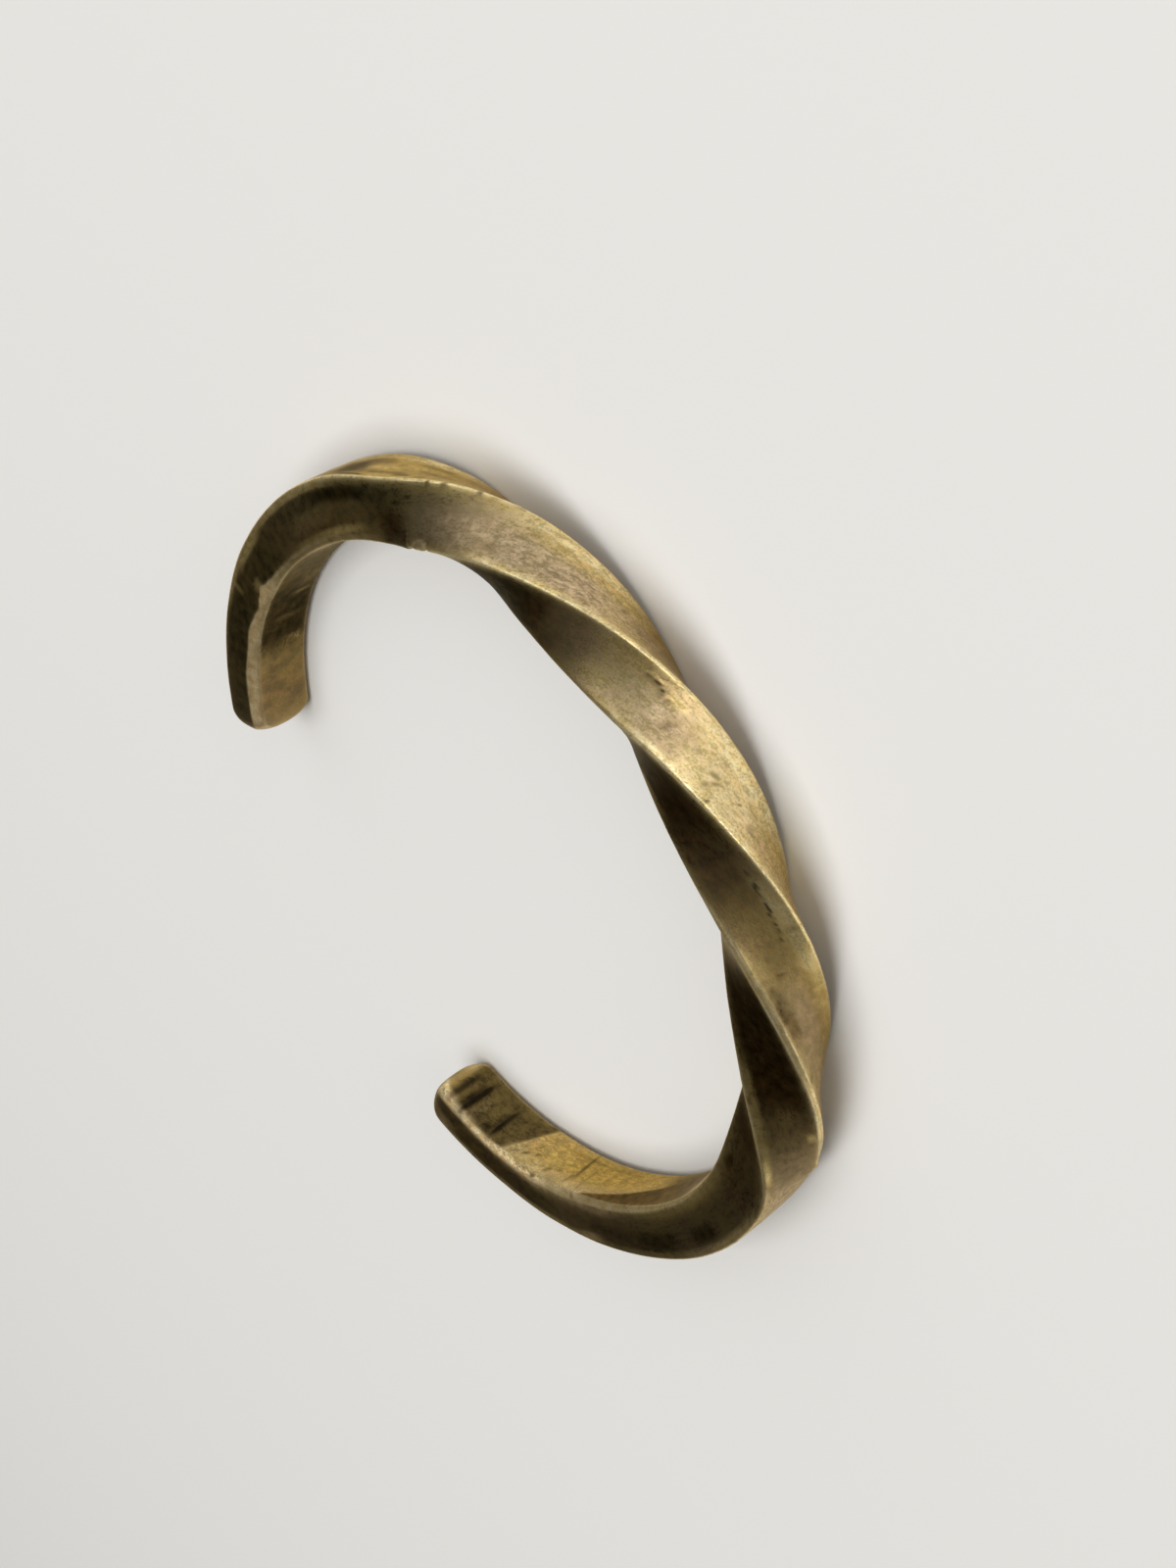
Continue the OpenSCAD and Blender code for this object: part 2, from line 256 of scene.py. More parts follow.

# Tarnish, rubbed places, painted shade and painted highlights, from tip to tip and face by face: on
# faces that look into the dark the haze, brown, umber and black are partly painted shade, and bare
# rows on flats are painted highlights. Each row: which layer of the brass, station, ridge, distance
# past it, half length, half width, turn in degrees, and strength. Rows of one layer add up, and the
# layers lie on each other in the order that the brass gives them in.
tarnishAndPaintedLightColumns = ("layer", "station", "ridge", "past", "long", "wide", "turn", "strength")
tarnishAndPaintedLight = (
    # top face, from the left-hand tip round to the start of the twist: its brown, umber and black are
    # partly patina and partly painted shade, where the face looks up into the dark
    ("brown", -75, "A", 2.2, 7, 2.4, 0, 0.92),
    ("brown", -59.5, "A", 2.4, 11.5, 2.9, 0, 0.72),
    ("umber", -39.5, "A", 2.3, 14, 2.3, 0, 0.78),
    ("black", -67, "A", 1.7, 3.8, 1.2, 0, 0.6),
    ("black", -55.5, "A", 1.7, 3.6, 1.2, 0, 0.55),
    ("black", -49.5, "A", 1.8, 3.2, 1.1, 0, 0.85),
    ("black", -42.3, "A", 1.8, 1.8, 0.8, 0, 0.85),
    ("tan", -71, "A", 0.4, 9.5, 0.42, 0, 0.2),
    ("tan", -78.6, "A", 1.1, 1.8, 0.9, 0, 0.14),
    ("tan", -58.8, "A", 0.75, 1.8, 0.5, 10, 0.18),
    ("rubbed", -70, "A", 0.45, 11, 0.4, 0, 0.3),
    ("rubbed", -55, "A", 0.5, 14, 0.32, 0, 0.26),
    ("tan", -69.3, "A", 4.3, 5, 1.05, 0, 0.4),
    ("tan", -70, "A", 4.4, 9, 1.5, 0, 0.08),
    ("tan", -59.5, "A", 4.45, 5.5, 0.85, 0, 0.19),
    ("tan", -40.5, "A", 0.45, 5.5, 0.3, 0, 0.16),
    ("rubbed", -47, "A", 4.6, 9, 0.5, 0, 0.24),
    ("rubbed", -38, "A", 4.9, 5, 0.45, 0, 0.3),
    ("brown", -29, "A", 3, 6, 3.2, 0, 0.7),
    ("honey", -39, "A", 4.5, 8.5, 0.8, 0, 0.46),
    ("umber", -25, "A", 3, 3.9, 3.4, 0, 0.92),
    ("umber", -32, "A", 4.3, 0.9, 0.4, 0, 0.8),
    # inner face of the left-hand end: the umber and black near the tip and the haze, brown and umber
    # near station -45 are partly patina and partly painted shade
    ("umber", -75.4, "B", 2.6, 3.6, 2.4, 0, 0.15),
    ("black", -71.3, "B", 1.4, 0.5, 0.8, 0, 0.5),
    ("umber", -75.3, "B", 1.2, 0.7, 0.65, 0, 0.6),
    ("black", -73.8, "B", 0.95, 0.6, 0.6, 0, 0.55),
    ("tan", -75.9, "B", 2.2, 0.5, 1.3, 0, 0.09),
    ("tan", -77.8, "B", 0.36, 2.6, 0.32, 6, 0.5),
    ("bareAndHighlight", -79.9, "B", 0.35, 0.75, 0.45, 20, 0.9),
    ("tan", -79.4, "B", 0.4, 1.15, 0.5, 14, 0.7),
    ("umber", -81, "B", 3.4, 0.5, 1.8, 0, 0.6),
    ("honey", -79.9, "B", 2.8, 0.7, 1.8, 0, 0.6),
    ("brown", -80.1, "B", 2.8, 0.9, 2.6, 0, 0.42),
    ("brown", -63, "B", 4.7, 6.5, 0.15, 0, 0.4),
    ("haze", -42, "B", 3.6, 4, 2.5, 0, 0.8),
    ("honey", -62, "B", 3.6, 8.5, 2.3, 0, 0.9),
    ("brown", -57, "B", 3.4, 6, 3, 0, 0.18),
    ("honey", -53, "B", 4.2, 5.5, 1.8, 0, 0.8),
    ("brown", -45.4, "B", 2.4, 4.8, 3.8, 0, 0.8),
    ("umber", -46, "B", 2.4, 3.6, 3.8, 0, 0.5),
    ("rubbed", -66, "B", 3.6, 2.2, 1.4, 0, 0.25),
    ("brown", -63.9, "B", 0.6, 1.2, 0.5, 0, 0.3),
    ("rubbed", -67.8, "B", 1, 2.9, 1.1, 0, 0.55),
    ("haze", -68, "B", 1.2, 2.7, 1, 0, 0.5),
    ("brown", -68.8, "B", 1.6, 1, 0.7, 20, 0.25),
    ("brown", -65.2, "B", 1.4, 0.5, 0.4, 60, 0.3),
    # outer face from the left-hand side into the twist: its haze, brown, umber and black are partly
    # brown patina and partly painted shade, where the face looks into the dark
    ("haze", -31.5, "D", 2.8, 5.2, 3.4, 0, 0.95),
    ("brown", -28.3, "D", 2.8, 3.4, 3.4, 0, 0.48),
    ("mottled", -28.3, "D", 2.8, 3, 3.4, 0, 0.22),
    ("brown", -17.4, "D", 2.9, 8.8, 3.8, 0, 0.98),
    ("umber", -16.6, "D", 2.9, 7, 3.6, 0, 0.9),
    ("black", -15.5, "D", 2.9, 5.5, 3.2, 0, 0.5),
    ("rubbed", -28.9, "D", 4.9, 1.3, 0.34, 0, 0.6),
    ("bareAndHighlight", -28.9, "D", 4.95, 1.4, 0.2, 0, 0.5),
    ("rubbed", -24.5, "D", 4.85, 6, 0.42, 0, 0.5),
    ("rubbed", -25.7, "D", 0.95, 0.65, 0.4, 20, 0.65),
    ("rubbed", -23.4, "D", 2.4, 0.9, 0.8, 0, 0.22),
    ("umber", -12, "D", 1.2, 2, 1.2, 0, 0.4),
    # bottom face as the twist brings it up: its umber, black and brown near station 0 are partly patina
    # and partly painted shade, where the face looks into the dark, and the bare row near station -7.5
    # is a painted highlight
    ("umber", 4.8, "C", 2.9, 5.6, 3.6, 0, 0.97),
    ("black", 6, "C", 2.9, 2.6, 3.6, 0, 0.38),
    ("black", -0.2, "C", 3, 1.8, 2.6, 0, 0.22),
    ("brown", -1, "C", 3, 4.2, 3.6, 0, 0.76),
    ("haze", -16, "C", 3, 7.5, 2.8, 0, 0.6),
    ("brown", -14.6, "C", 3, 4.4, 3.2, 0, 0.24),
    ("brown", -14.6, "C", 4.3, 1.7, 0.6, 0, 0.65),
    ("mottled", -13.6, "C", 4.1, 1.8, 0.6, 0, 0.25),
    ("brown", -12.3, "C", 4.6, 0.8, 0.6, 0, 0.4),
    ("brown", -13.5, "C", 3, 8.5, 3.4, 0, 0.26),
    ("honey", -14, "C", 0.9, 6.5, 0.9, 0, 0.5),
    ("honey", -8, "C", 2.6, 4.5, 2.4, 0, 0.45),
    ("rubbed", -13, "C", 0.6, 5.5, 0.5, 0, 0.35),
    ("rubbed", -7.5, "C", 0.75, 3.6, 0.8, 0, 0.6),
    ("bareAndHighlight", -7.5, "C", 0.7, 4.2, 0.8, 0, 0.45),
    ("tan", -8.6, "C", 1, 3, 1.1, 0, 0.09),
    ("black", 6, "C", 0.7, 1.6, 0.7, 0, 0.4),
    ("rubbed", 4.8, "C", 5, 2.8, 0.5, 0, 0.45),
    ("rubbed", -10.5, "C", 5.1, 2.2, 0.35, 0, 0.4),
    # inner face as it comes to the front: the bare rows between stations -2.5 and 3 are painted
    # highlights, and the brown, umber and black near station 24 are partly patina and partly painted
    # shade, where the face turns away into the dark
    ("haze", 9.6, "B", 3.4, 4, 2.2, 0, 0.55),
    ("brown", 7.4, "B", 2.8, 1.4, 2.6, 0, 0.22),
    ("tan", 12, "B", 3.2, 3.6, 2.2, 0, 0.07),
    ("brown", 18.6, "B", 3.2, 2.6, 3.8, 0, 0.34),
    ("brown", 22.8, "B", 3, 4.6, 4, 0, 0.9),
    ("umber", 23.5, "B", 3, 4, 4, 0, 0.7),
    ("black", 25.2, "B", 3, 3.6, 4, 0, 0.95),
    ("umber", 26.5, "B", 3, 3, 4, 0, 0.9),
    ("bareAndHighlight", 2.2, "B", 3.3, 3.4, 1.8, 0, 0.55),
    ("tan", 19.8, "B", 3.2, 2.6, 0.9, 66, 0.04),
    ("bareAndHighlight", 1.5, "B", 0.8, 5.8, 0.8, 0, 0.8),
    ("bareAndHighlight", -2.5, "B", 0.5, 3.6, 0.5, 0, 0.85),
    ("tan", -2, "B", 0.4, 3, 0.4, 0, 0.2),
    ("bareAndHighlight", 3, "B", 5.1, 7.5, 0.45, 0, 0.8),
    ("rubbed", 14, "B", 0.7, 2.4, 0.6, 0, 0.4),
    ("honey", 12.5, "B", 0.9, 3, 0.8, 0, 0.25),
    ("rubbed", 2, "B", 1.3, 5.5, 1.1, 0, 0.45),
    ("rubbed", 9, "B", 1.25, 0.9, 0.4, 0, 0.6),
    # top face where it turns outwards: the bare row at station 21.5 is a painted highlight
    ("haze", 23.5, "A", 3.2, 7.5, 2.5, 0, 0.85),
    ("haze", 13, "A", 2.2, 3.5, 2.4, 0, 0.7),
    ("haze", 31.5, "A", 3.4, 3.6, 2.2, 0, 0.8),
    ("brown", 33.2, "A", 3.2, 2.6, 2.6, 0, 0.1),
    ("brown", 29.2, "A", 2.2, 3, 3.4, 0, 0.22),
    ("brown", 26.3, "A", 3.9, 1.8, 0.5, 0, 0.22),
    ("bareAndHighlight", 21.5, "A", 0.55, 5, 0.5, 0, 0.6),
    ("tan", 21.5, "A", 0.5, 4.6, 0.45, 0, 0.15),
    ("honey", 18, "A", 1, 7, 1.2, 0, 0.3),
    ("mottled", 12.5, "A", 1.3, 4, 1.8, 0, 0.13),
    ("bareAndHighlight", 16.5, "A", 5.15, 11, 0.26, 0, 0.75),
    ("rubbed", 19, "A", 1, 7, 1, 0, 0.35),
    # top face from the fold to the right-hand tip: its brown, umber, black and mottled are partly patina
    # and partly painted shade, where the face looks up into the dark
    ("brown", 41.5, "A", 3, 6.6, 3.4, 0, 0.72),
    ("umber", 36.9, "A", 4, 1.9, 1.6, 0, 0.82),
    ("umber", 38.5, "A", 2.6, 2.5, 1.2, 0, 0.5),
    ("brown", 52, "A", 2.7, 9, 3, 0, 0.72),
    ("umber", 50, "A", 2.8, 5, 1.2, 0, 0.15),
    ("brown", 68, "A", 2.6, 13.5, 3, 0, 0.9),
    ("mottled", 33, "A", 1.25, 4.2, 1.1, 2, 0.48),
    ("mottled", 38, "A", 1.3, 3, 1.1, 0, 0.7),
    ("black", 39.2, "A", 1.15, 2.2, 0.55, 0, 0.6),
    ("black", 43.6, "A", 1.25, 4.9, 0.75, 0, 0.96),
    ("mottled", 50.8, "A", 1.6, 4.5, 1, 0, 0.62),
    ("mottled", 59, "A", 2.7, 3, 1.7, 0, 0.6),
    ("black", 59, "A", 2.7, 3, 1.6, 0, 0.3),
    ("mottled", 67.8, "A", 2.1, 5, 1.6, 0, 0.6),
    ("black", 67.8, "A", 2.1, 4.6, 1.5, 0, 0.4),
    ("mottled", 76, "A", 2.2, 4, 1.5, 0, 0.6),
    ("honey", 46.5, "A", 4.3, 5.5, 0.6, 0, 0.55),
    ("honey", 69, "A", 4.45, 11, 0.45, 0, 0.6),
    ("rubbed", 44.5, "A", 4.3, 3.6, 0.36, 3, 0.6),
    ("rubbed", 49, "A", 4.5, 4.5, 0.34, 0, 0.5),
    ("tan", 44.5, "A", 4.4, 3, 0.3, 3, 0.16),
    ("tan", 48, "A", 4.95, 8.5, 0.32, 0, 0.14),
    ("rubbed", 48.5, "A", 2.9, 3.6, 0.8, 0, 0.2),
    ("rubbed", 51, "A", 0.4, 6.5, 0.38, 0, 0.6),
    ("tan", 51.5, "A", 0.4, 7, 0.32, 0, 0.28),
    ("rubbed", 59.8, "A", 0.7, 2.8, 0.5, 0, 0.6),
    ("tan", 60.2, "A", 0.72, 2.6, 0.4, 0, 0.24),
    ("tan", 64.8, "A", 0.42, 2.8, 0.3, 0, 0.24),
    ("tan", 62, "A", 3.3, 0.8, 0.5, 0, 0.08),
    ("rubbed", 67, "A", 0.35, 7, 0.34, 0, 0.34),
    ("rubbed", 62, "A", 3.3, 0.8, 0.55, 0, 0.45),
    ("rubbed", 64.7, "A", 1, 0.95, 0.32, 88, 0.5),
    # outer face of the hump: its brown and umber are partly patina and partly painted shade
    ("honey", 38, "D", 2.8, 6.5, 3.4, 0, 0.75),
    ("brown", 37.5, "D", 2.8, 8, 3.6, 0, 0.16),
    ("rubbed", 36, "D", 0.8, 4.6, 0.85, 0, 0.6),
    ("bareAndHighlight", 35.5, "D", 0.6, 3.6, 0.65, 0, 0.75),
    ("rubbed", 43.5, "D", 0.7, 4.8, 0.6, 0, 0.4),
    ("rubbed", 47.3, "D", 2.3, 1.8, 1.7, 0, 0.5),
    ("brown", 43.2, "D", 3.6, 2.4, 1.8, 0, 0.75),
    ("umber", 43.2, "D", 3.4, 1.5, 1.4, 20, 0.65),
    ("black", 43.2, "D", 3.7, 0.9, 0.9, 30, 0.45),
    ("brown", 45.4, "D", 4.5, 2.2, 1.2, -10, 0.5),
    ("honey", 35, "D", 1.2, 1.8, 0.6, 6, 0.7),
    ("brown", 41.5, "D", 2, 1.7, 0.6, 8, 0.65),
    ("brown", 36, "D", 1.6, 1.5, 0.35, -6, 0.65),
    ("brown", 38.6, "D", 4.1, 2.2, 0.26, 4, 0.75),
    ("umber", 36.9, "D", 4.4, 0.9, 0.2, -6, 0.6),
    ("brown", 34.5, "D", 3.3, 1.6, 0.28, -8, 0.6),
    ("rubbed", 39.5, "D", 3.2, 1.8, 0.3, 6, 0.65),
    ("rubbed", 36.5, "D", 2.5, 1.2, 0.25, -4, 0.55),
    ("rubbed", 35.2, "D", 0.8, 1.2, 0.35, 4, 0.5),
    # inner face of the right-hand end, with streaks across it: its brown, umber and black are partly
    # patina and partly painted shade, where the face lies in shadow and looks into the dark
    ("brown", 56.5, "B", 3.2, 5.2, 4.2, 0, 0.8),
    ("umber", 57, "B", 3.2, 4.6, 4.2, 0, 0.4),
    ("mottled", 56.8, "B", 3.2, 4.4, 4.2, 0, 0.45),
    ("umber", 66.2, "B", 3.2, 4.9, 4.2, 0, 1),
    ("black", 66.2, "B", 3.2, 4.7, 4.2, 0, 0.92),
    ("brown", 75, "B", 3.2, 7, 4, 0, 0.8),
    ("black", 62.9, "B", 1.7, 1.2, 1.1, 0, 0.7),
    ("black", 64.4, "B", 3.9, 1.7, 0.55, 88, 0.5),
    ("black", 68.9, "B", 2.8, 2.2, 0.7, 94, 0.45),
    ("rubbed", 63.3, "B", 4.2, 1, 0.36, 92, 0.22),
    ("rubbed", 66.9, "B", 3.6, 1.7, 0.36, 86, 0.1),
    ("rubbed", 70.3, "B", 4.4, 0.9, 0.5, 90, 0.25),
    ("umber", 61.3, "B", 1.9, 1.9, 1.8, 0, 0.75),
    ("umber", 58.7, "B", 0.9, 0.9, 0.4, 10, 0.5),
    ("umber", 60.1, "B", 2.4, 0.6, 0.35, 60, 0.6),
    ("umber", 59.9, "B", 4, 0.6, 0.3, 0, 0.5),
    # faces that lie under or behind
    ("brown", -37, "C", 2.8, 13, 2.8, 0, 0.4),
    ("brown", -63, "C", 2.6, 16, 2.6, 0, 0.55),
    ("brown", 20, "C", 2.8, 9, 2.8, 0, 0.4),
    ("brown", 38, "C", 2.8, 9, 2.6, 0, 0.55),
    ("brown", 61, "C", 2.6, 17, 2.6, 0, 0.65),
    ("brown", 0, "D", 2.8, 7, 2.8, 0, 0.35),
    ("haze", 14, "D", 2.8, 9, 2.8, 0, 0.6),
    ("brown", 25, "D", 2.8, 4, 2.8, 0, 0.4),
    ("brown", 62, "D", 2.8, 15, 2.8, 0, 0.6),
    ("black", 66, "D", 2, 6, 1.2, 0, 0.5),
    ("brown", -57, "D", 2.8, 18, 2.8, 0, 0.55),
    ("haze", 0, "A", 2.8, 9, 2.6, 0, 0.5),
    ("brown", -14, "A", 2.8, 9, 2.8, 0, 0.6),
    ("brown", -20, "B", 2.8, 9, 2.8, 0, 0.5),
    ("haze", -8, "B", 3, 4, 2.6, 0, 0.5),
    ("brown", 40, "B", 2.8, 9, 2.8, 0, 0.55),
)

# Patches with a clean straight border, on the inner face past ridge B: the olive one on the
# left-hand tip, partly patina and partly a painted cast shadow whose border is the shadow's edge,
# and a brown wedge farther on, painted shade. Each has a point on its border, the direction of the
# border in degrees from along the bar with the patch on its left, how soft it is, the stations
# between which it lies, the length over which it fades before the second, and its layers' strengths.
stainsAndPaintedShadows = (
    {
        "station": -69.9, "past": 2.6, "turn": 63.4, "edge": 0.45, "from": -80.2, "to": -60.0, "fade": 1.0,
        "layers": {"honey": 0.60, "brown": 0.70, "umber": 0.10, "mottled": 0.56},
    },
    {
        "station": -58.0, "past": 1.0, "turn": 194.9, "edge": 0.35, "from": -60.0, "to": -41.0, "fade": 9.0,
        "layers": {"honey": 0.80, "brown": 0.88, "umber": 0.52},
    },
)


def softStep(x):
    # 0 up to 0, 1 from 1 on, a cubic ease between them
    x = np.clip(x, 0, 1)
    return x * x * (3 - 2 * x)


def between(x, places, values):
    # the values at the places, with an eased run from each to the next
    i = np.clip(np.searchsorted(places, x) - 1, 0, len(places) - 2)
    share = softStep((x - places[i]) / (places[i + 1] - places[i]))
    return values[i] + (values[i + 1] - values[i]) * share


def heading(station):
    # direction of the bar in radians: distance over the front radius, plus, for each blend, the
    # change of curvature times the area under an eased step
    away = np.abs(station)
    radii = bangle["bendRadii"]
    turned = away / radii[0]
    for (start, end), before, after in zip(bangle["bendBlends"], radii, radii[1:]):
        x = (away - start) / (end - start)
        inside = np.clip(x, 0, 1)
        area = inside**3 - inside**4 / 2 + np.maximum(x - 1, 0)
        turned = turned + (1 / after - 1 / before) * (end - start) * area
    return np.sign(station) * turned


def middleLine(station):
    # running sum of short steps, each laid along the heading at its own middle
    half = bangle["length"] / 2
    fine = np.linspace(-half, half, bangle["bendSamples"])
    angle = heading((fine[1:] + fine[:-1]) / 2)
    x = np.concatenate([[0], np.cumsum(np.diff(fine) * np.cos(angle))])
    y = np.concatenate([[0], np.cumsum(np.diff(fine) * np.sin(angle))])
    return np.interp(station, fine, x), np.interp(station, fine, y)


def twistAngle(station):
    # one turn shared out evenly, with a cosine start and stop
    x = station - bangle["twistMiddle"]
    half, ease = bangle["twistLength"] / 2, bangle["twistEase"]
    even = half - ease
    away = np.minimum(np.abs(x), half)
    u = np.clip((away - even) / ease, 0, 1)
    run = np.minimum(away, even) + ease / 2 * (u + np.sin(np.pi * u) / np.pi)
    return 2 * np.pi * (0.5 + np.sign(x) * run / (2 * even + ease))


def flattening(station):
    # 0 along the twist, eased up to 1 at either tip
    half = bangle["length"] / 2
    start = bangle["twistMiddle"] - bangle["twistLength"] / 2
    end = bangle["twistMiddle"] + bangle["twistLength"] / 2
    towardsLeft, towardsRight = (start - station) / (start + half), (station - end) / (half - end)
    return softStep(np.where(station < start, towardsLeft, towardsRight))


def barRows():
    # rows of the grid from tip to tip: the station, how far the nose has closed in (0 to 1), and
    # how far the end face has shrunk to its middle (1 at its rim, 0 at the pole); the stations
    # are shared out by the running sum of how crowded each place is
    half, nose = bangle["length"] / 2, bangle["noseLength"]
    fine = np.linspace(-half + nose, half - nose, bangle["crowdSamples"])
    crowded = [more * np.exp(-(((fine - place) / reach) ** 2)) for place, reach, more in bangle["crowdedAt"]]
    crowd = 1 + sum(crowded)
    share = np.concatenate([[0], np.cumsum((crowd[1:] + crowd[:-1]) / 2)])
    body = np.interp(np.linspace(0, share[-1], bangle["stations"]), share, fine)
    angle = np.linspace(0, np.pi / 2, bangle["noseRings"] + 1)[1:]
    shrink = np.linspace(1, 0, bangle["capRings"] + 1)[1:-1]
    noseStation = half - nose + nose * np.sin(angle)
    endStation = np.full(len(shrink), half)
    station = np.concatenate([-endStation, -noseStation[::-1], body, noseStation, endStation])
    closing = 1 - np.cos(angle)
    full = endStation * 0 + 1
    closed = np.concatenate([full, closing[::-1], body * 0, closing, full])
    shrunk = np.concatenate([shrink[::-1], angle * 0 + 1, body * 0 + 1, angle * 0 + 1, shrink])
    return station, closed, shrunk


def outline(station, closed):
    # the rounded square round every station: each ridge a quarter ellipse, drawn towards its
    # chord as far as it is worn flat, and each flat a straight run with a parabola's slight crown;
    # as a nose closes in, the ellipses grow towards half the bar, and wear and crown die away;
    # columns go A, B, C, D; also gives each ridge's column, and its state at every station
    flat = flattening(station)
    halfThick = (bangle["width"] + (bangle["tipThickness"] - bangle["width"]) * flat) / 2
    halfWide = (bangle["width"] + (bangle["tipWidth"] - bangle["width"]) * flat) / 2
    halfThick = (halfThick - bangle["noseThickness"] * closed)[:, None]
    halfWide = (halfWide - bangle["noseWidth"] * closed)[:, None]
    along = np.linspace(0, 1, bangle["edgeSegments"] + 1)[None, :]
    arcs, states = [], {}
    corners = (("A", 1, 1), ("B", -1, 1), ("C", -1, -1), ("D", 1, -1))
    for quarter, (letter, signU, signV) in enumerate(corners):
        columns = dict(zip(ridgeColumns, np.array(ridges[letter], float).T))
        places = columns.pop("station")
        state = {name: between(station, places, values)[:, None] for name, values in columns.items()}
        plain = 1 - closed[:, None]
        mostU, mostV = bangle["fullestRound"] * halfThick, bangle["fullestRound"] * halfWide
        reachU = np.minimum(halfThick + (state["reachTop"] - halfThick) * plain, mostU)
        reachV = np.minimum(halfWide + (state["reachSide"] - halfWide) * plain, mostV)
        state["flat"] = state["flat"] * plain
        angle = np.pi / 2 * (quarter + along)
        u = signU * (halfThick - reachU) + reachU * np.cos(angle)
        v = signV * (halfWide - reachV) + reachV * np.sin(angle)
        u = u + state["flat"] * (u[:, :1] + (u[:, -1:] - u[:, :1]) * along - u)
        v = v + state["flat"] * (v[:, :1] + (v[:, -1:] - v[:, :1]) * along - v)
        arcs.append((u, v))
        state["facet"] = state["flat"] * np.hypot(reachU, reachV) / 2
        states[letter] = state
    us, vs, ridgeAt = [], [], []
    perQuarter = bangle["edgeSegments"] + bangle["flatSegments"]
    share = np.linspace(0, 1, bangle["flatSegments"] + 1)[None, 1:-1]
    crown = bangle["crown"] * (1 - closed[:, None]) * 4 * share * (1 - share)
    for quarter in range(4):
        u, v = arcs[quarter]
        nextU, nextV = arcs[(quarter + 1) % 4]
        flatU = u[:, -1:] + (nextU[:, :1] - u[:, -1:]) * share
        flatV = v[:, -1:] + (nextV[:, :1] - v[:, -1:]) * share
        if quarter % 2 == 0:
            flatV = flatV + np.sign(flatV) * crown
        else:
            flatU = flatU + np.sign(flatU) * crown
        us += [u, flatU]
        vs += [v, flatV]
        ridgeAt.append(quarter * perQuarter + bangle["edgeSegments"] / 2)
    return np.concatenate(us, 1), np.concatenate(vs, 1), ridgeAt, states


def girthFrom(u, v, ridgeAt):
    # distance round the bar from each ridge to every point, in the order A, B, C, D, shortest way
    step = np.hypot(np.diff(u, axis=1), np.diff(v, axis=1))
    close = np.hypot(u[:, :1] - u[:, -1:], v[:, :1] - v[:, -1:])
    run = np.concatenate([np.zeros((len(u), 1)), np.cumsum(step, axis=1)], 1)
    total = run[:, -1:] + close
    distances = {}
    for letter, column in zip("ABCD", ridgeAt):
        low = int(column)
        ridgeRun = (run[:, low] + (run[:, low + 1] - run[:, low]) * (column - low))[:, None]
        away = run - ridgeRun
        distances[letter] = away - total * np.round(away / total)
    return distances


def rowsOf(table, names):
    # each row of a table under the names of its columns
    return [dict(zip(names, row)) for row in table]


def spotAt(station, across, row, fall=2):
    # e to minus the fourth power of the distance along the row's own line, so that its ends are
    # blunt, and minus a power of the distance across it: the square for a cut, which is deepest in
    # its middle, the fourth for a patch, which is even up to its border
    turn = math.radians(row["turn"])
    along = station * math.cos(turn) + across * math.sin(turn)
    aside = across * math.cos(turn) - station * math.sin(turn)
    return np.exp(-((along / row["long"]) ** 4) - (aside / row["wide"]) ** fall)


def wavesAt(x, y, z, rng):
    # sum of sines in many directions for each wave length, each a third of its height, so that no
    # pattern repeats
    waves = bangle["waves"]
    total = 0
    for length, height in waves["sizes"]:
        for _ in range(waves["each"]):
            direction = rng.normal(size=3)
            direction *= rng.uniform(*waves["stray"]) / np.linalg.norm(direction)
            phase = rng.uniform(0, 2 * np.pi)
            run = direction[0] * x + direction[1] * y + direction[2] * z
            total = total + height / 3 * np.sin(2 * np.pi / length * run + phase)
    return total


def gridNormals(points):
    # cross product of the differences along the bar and round it, made one unit long, outwards
    along = np.gradient(points, axis=0)
    around = np.roll(points, -1, axis=1) - np.roll(points, 1, axis=1)
    normal = np.cross(along, around)
    return normal / np.maximum(np.linalg.norm(normal, axis=2, keepdims=True), 1e-12)


def placeOnBend(station, u, v):
    # a point of the section, turned by the twist and set across the bent middle line
    angle, turn = heading(station)[:, None], twistAngle(station)[:, None]
    x, y = middleLine(station)
    outward = u * np.cos(turn) - v * np.sin(turn)
    upward = u * np.sin(turn) + v * np.cos(turn)
    return np.stack([x[:, None] + outward * np.sin(angle), y[:, None] - outward * np.cos(angle), upward], 2)


def restOnTable(points, station, box):
    # leans back, by the steepest line from under the tips to a point of the twist, so that both
    # touch, then moves to the middle and the bottom of the box
    tipHalf = bangle["tipWidth"] / 2
    tipRow = np.argmin(np.abs(station - (bangle["length"] / 2 - bangle["noseLength"])))
    tipY = middleLine(station)[1][tipRow]
    twisted = points[np.abs(station - bangle["twistMiddle"]) < bangle["twistLength"] / 2]
    lean = -math.atan(np.max((-tipHalf - twisted[..., 2]) / (tipY - twisted[..., 1])))
    leaned = np.stack([
        points[..., 0],
        points[..., 1] * math.cos(lean) - points[..., 2] * math.sin(lean),
        points[..., 1] * math.sin(lean) + points[..., 2] * math.cos(lean),
    ], 2)
    low, high = leaned.min((0, 1)), leaned.max((0, 1))
    middle = (low + high) / 2
    boxMiddle = (np.array(box[0]) + np.array(box[1])) / 2 / mm
    return leaned + [boxMiddle[0] - middle[0], boxMiddle[1] - middle[1], box[0][2] / mm - low[2]]


